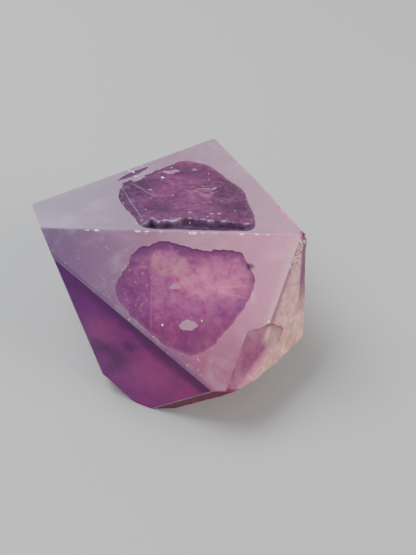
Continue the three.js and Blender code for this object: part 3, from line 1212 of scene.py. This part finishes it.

# %% [markdown]
# ### Prism faces and broken quartz
#
# The bed end is pale, tan and mottled. A purple vein follows the edge of the front face, the
# sunken patch of the growth step is purple too, and the outermost edge and the narrow face below
# are dark. The wall of the ledge, the shelf beside it and one corner of the patch are painted
# paler than the stone: painted light where they stand in shade, so that the step shows as a shape
# and not as a drawn line. A few spots on the prism face and tiny dots on broken quartz are
# painted glints.

# %% Prism faces
prism_streaks = streaks(place_in(front_across, axis, 1.0), 0.9, 0.50, 0.68)
vein = times(ease(below_front, 0.02, 0.16), ease(below_front, 0.45, 1.0, 1.0, 0.0))
prism_colour = layered(
    mix_colour(0.55, body, TAN),
    (mottles, (204, 136, 140), 0.40),
    (smears, MILK, 0.14),
    (prism_streaks, (178, 116, 108), 0.5),
    (dark_depths, (170, 102, 92), 0.48),
    (light_depths, (255, 214, 182), 0.72),
    (vein, (120, 56, 124), 0.62),
)
print("prism faces:", len(nodes), "nodes so far")

# %% The sunken patch
level = along_direction(axis, APEX)
across = along_direction(front_across, APEX)
shelving = ease(below_prism, 0.10, 0.45)
# The shelf goes from its own pink to a pale tan next to the ledge, painted light against shade.
shelf_colour_and_painted_light = mix_colour(ease(across, -7, -1.5), (186, 104, 128), (250, 206, 200))
# Painted light: the patch's corner keeps the pale shelf colour, against the shade there.
painted_light_corner = times(ease(level, -41.9, -43.1), ease(across, -6.5, -3.0), 0.85)
sunken = times(ease(below_prism, 0.7, 1.8), minus(1.0, painted_light_corner))
patch_colour = blend(mottles, (130, 40, 104), VEIL, 0.42)
slanting = plus(times(level, STEP_SKEW), STEP_EDGE - STEP_SKEW * STEP_SKEW_FROM)
brink = math_node("MINIMUM", slanting, STEP_HIGHEST)
# Painted light: the ledge wall faces down and is painted pale, with painted glints along it.
painted_light_ledge_wall = times(ease(minus(across, brink), -0.6, -0.25), shelving)
striped_colour = layered(
    prism_colour,
    (shelving, shelf_colour_and_painted_light, 0.85),
    (sunken, patch_colour, 0.88),
    (painted_light_ledge_wall, (232, 176, 186), 0.85),
)
print("sunken patch:", len(nodes), "nodes so far")

# %% Spots and dark edges
DARK_EDGE = (84, 26, 92)
EDGE_LEAN = Vector((1, 0, -0.05))
# The yellow spot and the two small near-white spots are painted glints.
PRISM_SPOTS_AND_GLINTS = [
    ((-41.1, -11.9), (0.85, 0.35), 60, (240, 190, 120)),
    ((-42.2, 10.8), (0.9, 1.3), -25, (232, 206, 214)),
    ((-42.4, 12.6), (0.6, 1.0), 0, (236, 210, 216)),
    ((-45.8, 2.0), (0.5, 0.6), 0, (250, 226, 220)),
    ((-47.9, 3.2), (0.4, 0.3), 0, (250, 226, 220)),
    ((-48.6, -0.4), (0.14, 2.4), -38, (176, 120, 112)),
]

on_prism = place_in(axis, front_across, start=APEX)
striped_colour = spotted(striped_colour, on_prism, PRISM_SPOTS_AND_GLINTS, None, 0.95, 0.9, mottles)

below_narrow = below_face(prism_normals[LOWER_LEFT], PRISM_REACH[LOWER_LEFT])
outermost = times(
    ease(along_direction(EDGE_LEAN), 50.35, 50.65),
    ease(along_direction(Vector((0, 0, 1))), -19, -12),
)
striped_colour = layered(
    striped_colour,
    (ease(below_narrow, 0.3, 0.8, 1.0, 0.0), (112, 10, 62), 0.9),
    (outermost, DARK_EDGE, 0.8),
)
print("spots and edges:", len(nodes), "nodes so far")

# %% Broken quartz
broken_colour = layered(
    mix_colour(mix_value(mottles, 0.25, 0.70), body, TAN),
    (clouds, ORCHID, 0.30),
    (ease(speckle(240, 6, 0.7, 1.2), 0.54, 0.66), MILK, 0.45),
    # painted glints: tiny white dots stand in for sparkling facets
    (sparks(520, 0.16, 0.22), GLINT, 0.9),
    (outermost, DARK_EDGE, 0.8),
)
print("broken quartz:", len(nodes), "nodes so far")

# %% [markdown]
# ### The front hollow
#
# Clear orchid, with a pale veil high on the left, a painted pink glow crossed by faint painted
# rays, a hairline crack and two bright specks. Its upper rim is dark and scalloped, and the rest
# of its edge is only where the frost stops. A small dark bruise sits at its right end.

# %% The front hollow
RAY_WIDTH = 0.16
# Painted rays of light across the painted glow.
RAYS = [
    ((35.6, 9.2), (3.8, RAY_WIDTH), -20), ((36.0, 10.4), (3.6, RAY_WIDTH), -4),
    ((35.6, 11.6), (3.6, RAY_WIDTH), 16),
]

front = place_in(ridge, front_down, 1.6)
front_exact = place_in(ridge, front_down)
veil = patch(front, (24.6, 6.8), (4.2, 2.6), 20, 0.8)
# Painted glow: light that scatters inside the stone, seen through the clear hollow.
glow = patch(front, (32.6, 10.0), (5.4, 3.2), -12, 0.9)
front_colour = layered(
    mix_colour(0.6, body, ORCHID),
    (mottles, VEIL, 0.22),
    (weave, VEIL, 0.20),
    (clouds, PURPLE, 0.45),
    (veil, (208, 132, 146), mix_value(mottles, 0.2, 0.85)),
    (glow, GLOW, mix_value(mottles, 0.35, 0.85)),
)
front_colour = spotted(front_colour, front_exact, RAYS, GLOW, 0.4, 0.9)

left_third = ease(along_ridge, 20.4, 21.6, 1.0, 0.0)
grit_dots = ease(speckle(1300, 3), 0.58, 0.72)
crack = patch(front_exact, (21.0, 15), (0.10, 5.4), 0, 0.5)
front_specks = math_node(
    "MAXIMUM", patch(front_exact, (23.2, 17.9), (0.17, 0.17)),
    patch(front_exact, (30.7, 17.0), (0.12, 0.12)),
)
front_colour = layered(
    front_colour,
    (left_third, (100, 38, 102), 0.55),
    (times(left_third, grit_dots), VEIL, 0.5),
    (ease(down_front, 13, 20), (110, 20, 84), 0.58),
    (dark_depths, (100, 22, 94), 0.36),
    (light_depths, mix_colour(0.5, VEIL, GLOW), 0.13),
    (crack, VEIL, 0.25),
    (mark("rim"), mix_colour(0.25, PLUM, PURPLE), 0.86),
    (front_specks, GLINT, 1.0),
)
print("front hollow:", len(nodes), "nodes so far")

# %% [markdown]
# ### The top hollow
#
# Darker: plum with a duller left end, streaked, and crossed by fine scratches. Along the ridge
# runs the trough, nearly black, and the crest between the two is frayed to a pale blue grey.

# %% The top hollow
PINK_GREY = (180, 112, 156)
TOP_SHADES = [
    ((19.5, 17.5), (3.6, 2.4), 40), ((37.6, 10.5), (2.4, 3.2), 30), ((22.5, 9.0), (2.4, 1.5), -30),
    ((28.5, 24.0), (7.0, 3.0), -10), ((37.0, 17.5), (2.6, 3.4), -50),
]
SCRATCHES = [
    ((16.9, 9.5), (5.9, 0.05), -68.5), ((19.4, 14.9), (3.3, 0.04), -38.4),
    ((18.2, 16.3), (2.6, 0.04), -32.7), ((32.2, 16.9), (1.7, 0.10), 6),
    ((34.2, 17.3), (0.7, 0.16), 40), ((20.4, 15.6), (0.35, 0.2), 0),
    ((28.5, 7.7), (0.3, 0.2), 0), ((32.9, 7.5), (0.4, 0.2), 0), ((34.5, 7.6), (0.4, 0.2), 10),
]

top_exact = place_in(ridge, top_away)
top = place_in(ridge, top_away, 2.4)
top_colour = layered(
    mix_colour(0.58, mix_colour(0.6, body, ORCHID), PLUM),
    (mottles, PINK_GREY, 0.14),
    (ease(along_ridge, 16, 24, 1.0, 0.0), (60, 12, 76), 0.86),
    (ease(along_ridge, 29, 37), mix_colour(0.25, PLUM, INK), 0.84),
    (clouds, INK, 0.50),
    (dark_depths, mix_colour(0.6, PLUM, INK), 0.44),
    (light_depths, (170, 100, 134), 0.34),
    (weave, PINK_GREY, 0.20),
)
top_colour = spotted(top_colour, top, TOP_SHADES, mix_colour(0.5, INK, PLUM), 0.6, 0.8)
scratched = times(patch(top, (32.6, 15.0), (5.0, 4.0), 10, 0.9), streaks(top, 1.6, 0.50, 0.66))
top_colour = blend(scratched, top_colour, VEIL, 0.55)
top_colour = spotted(top_colour, top_exact, SCRATCHES, GLINT, 0.45, 0.5)
top_colour = layered(
    top_colour,
    (mark("trough"), mix_colour(mottles, INK, (96, 62, 104)), 0.80),
    # pale dots: partly white specks in the hollow, partly painted sparkle
    (sparks(700, 0.30, 0.15), (244, 196, 192), 0.9),
    (mark("fray"), FRAY, 1.0),
)
print("top hollow:", len(nodes), "nodes so far")

# %% [markdown]
# ### All finishes together
#
# Each finish has a colour, a roughness and a share of the light that it lets through. The marks
# pick one of the seven for each face. After that come the small things that belong to no single
# finish: a bruise beside the front hollow, specks that hide the stone, and matt edges.

# %% Put the finishes together
EDGE_ROUGHNESS = 0.68
SPECK_ROUGHNESS = 0.6

# Chips are rosy and whitish, as fresh breaks are; the brightest white is painted glints on their
# facets.
chip_colour_and_glints = mix_colour(ease(speckle(3600, 2), 0.40, 0.53), (190, 112, 140), GLINT)
ground_grain = speckle(5200, 3, 0.7)
SURFACES = {
    "ground": (ground_colour, mix_value(ground_grain, 0.42, 0.60), 0.25),
    "grown": (grown_colour, mix_value(clouds, 0.16, 0.26), 0.30),
    "striped": (striped_colour, mix_value(mottles, 0.34, 0.46), 0.30),
    "broken": (broken_colour, mix_value(speckle(900, 4), 0.22, 0.46), 0.30),
    "top_hollow": (top_colour, mix_value(mottles, 0.22, 0.40), 0.42),
    "front_hollow": (front_colour, mix_value(mottles, 0.24, 0.36), 0.38),
    "chipped": (chip_colour_and_glints, 0.25, 0.1),
}
colour, rough, clear = body, 0.3, 0.5
for name, (own_colour, own_rough, own_clear) in SURFACES.items():
    here = mark(name)
    colour = mix_colour(here, colour, own_colour)
    rough = mix_value(here, rough, own_rough)
    clear = mix_value(here, clear, own_clear)

not_ground = minus(1.0, mark("ground"))
bruise = times(patch(front, (39.9, 6.4), (0.8, 0.6), 0, 0.5), on_front)
colour = blend(bruise, colour, INK, 0.8)
specks = math_node("MAXIMUM", mark("fray"), times(front_specks, mark("front_hollow")))
matt = math_node("MAXIMUM", mark("edge"), times(mark("trough"), mark("top_hollow")))
rough = mix_value(times(matt, not_ground), rough, EDGE_ROUGHNESS)
rough = mix_value(specks, rough, SPECK_ROUGHNESS)
clear = mix_value(specks, clear, 0.0)
print("finishes:", list(SURFACES))

# %% [markdown]
# ### The fine surface
#
# Four heights, each in metres: soft waves on everything that isn't ground, sharper hackles on
# broken quartz and fainter ones on the prism faces, the stripes that quartz grows across its prism
# faces, and the grain that grinding leaves.

# %% Fine relief
WAVE_HEIGHT = 0.00012
HACKLE_HEIGHT = 0.00034
HACKLES_ON_PRISM = 0.4
STRIPE_HEIGHT = 0.000022
STRIPE_PITCH = 0.9
GRAIN_HEIGHT = 0.000018
QUARTZ_IOR = 1.544
SPECULAR_LEVEL = 0.35
DEPTH_COLOUR, DEPTH_DENSITY = (0.72, 0.22, 0.72, 1), 62.0

waves = times(speckle(380, 4, 0.55), WAVE_HEIGHT)
rough_end = plus(mark("broken"), times(mark("striped"), HACKLES_ON_PRISM))
hackles = times(speckle(640, 5, 0.62, 0.6), HACKLE_HEIGHT, rough_end)
stripe_place = plus(zone_length, times(speckle(60, 3), 1.4))
stripes = math_node("SINE", times(stripe_place, 2 * math.pi / STRIPE_PITCH))
stripes = times(stripes, mark("striped"), STRIPE_HEIGHT)
grain = times(ground_grain, mark("ground"), GRAIN_HEIGHT)
height = plus(plus(plus(times(waves, not_ground), hackles), stripes), grain)
relief_bump = node("Bump", {"Strength": 1.0, "Distance": 1.0, "Height": height})

principled = node("BsdfPrincipled", {
    "Base Color": colour, "Roughness": rough, "IOR": QUARTZ_IOR,
    "Specular IOR Level": SPECULAR_LEVEL, "Transmission Weight": clear,
    "Normal": relief_bump.outputs["Normal"],
})
depth = node("VolumeAbsorption", {"Color": DEPTH_COLOUR, "Density": DEPTH_DENSITY})
node("OutputMaterial", {
    "Surface": principled.outputs["BSDF"], "Volume": depth.outputs["Volume"],
})
print("nodes:", len(nodes))

# %% [markdown]
# ## Table, light and camera
#
# The stone stands on a plain pale floor. A broad soft light high on the left draws the ground
# faces apart, a warmer one low on the right reaches the bed, and a pale sky fills the rest. Both
# lights stand well off the directions that the ground faces mirror towards the camera. With one
# of them there, the glassy hollows would show a white square instead of the stone. The camera
# looks down at the stone from close by, as a person does who holds a phone over it.

# %% Floor and sky
FLOOR_REACH = 1.5
FLOOR_GREY = (0.36, 0.36, 0.35, 1)
FLOOR_ROUGHNESS = 0.7
SKY, SKY_STRENGTH = (0.86, 0.90, 1.0, 1), 0.66

floor_mesh = bmesh.new()
bmesh.ops.create_grid(floor_mesh, x_segments=1, y_segments=1, size=FLOOR_REACH)
floor_material = bpy.data.materials.new("floor")
floor_material.use_nodes = True
floor_shader = floor_material.node_tree.nodes["Principled BSDF"]
floor_shader.inputs["Base Color"].default_value = FLOOR_GREY
floor_shader.inputs["Roughness"].default_value = FLOOR_ROUGHNESS
floor = to_object(floor_mesh, "floor", [floor_material])

world = bpy.data.worlds.new("sky")
world.use_nodes = True
background = world.node_tree.nodes["Background"]
background.inputs["Color"].default_value = SKY
background.inputs["Strength"].default_value = SKY_STRENGTH
bpy.context.scene.world = world
print("floor:", 2 * FLOOR_REACH, "m wide")


# %% Lights
def soft_light(name, place, aim, size, power, colour):
    """A square area light at a place, turned towards a point. Metres and watts."""
    lamp = bpy.data.lights.new(name, "AREA")
    lamp.size = size
    lamp.energy = power
    lamp.color = colour
    thing = bpy.data.objects.new(name, lamp)
    thing.location = place
    thing.rotation_euler = (Vector(aim) - Vector(place)).to_track_quat("-Z", "Y").to_euler()
    bpy.context.scene.collection.objects.link(thing)
    print(name, "light:", power, "W")


STONE = (0, 0, 0.01)
soft_light("window", (-0.35, 0.20, 0.70), STONE, 0.5, 10.0, (0.96, 0.97, 1.0))
soft_light("fill", (0.68, -0.25, 0.36), STONE, 0.45, 5.5, (1.0, 0.93, 0.86))

# %% Camera
FOCAL_PIXELS = 600
FRAME_HEIGHT = 555
SENSOR = 36.0
LOOK_DOWN = 44
NEAREST = 0.01
FROM_TIP = Vector((31.52, -87.73, 71.83))

lens = bpy.data.cameras.new("camera")
lens.sensor_width = SENSOR
lens.lens = FOCAL_PIXELS * SENSOR / FRAME_HEIGHT
lens.clip_start = NEAREST
camera = bpy.data.objects.new("camera", lens)
camera.location = (ridge_tip + FROM_TIP) * MM
camera.rotation_euler = (math.radians(90 - LOOK_DOWN), 0, 0)
bpy.context.scene.collection.objects.link(camera)
bpy.context.scene.camera = camera
print("camera:", [round(v, 4) for v in camera.location], "lens", round(lens.lens, 2))
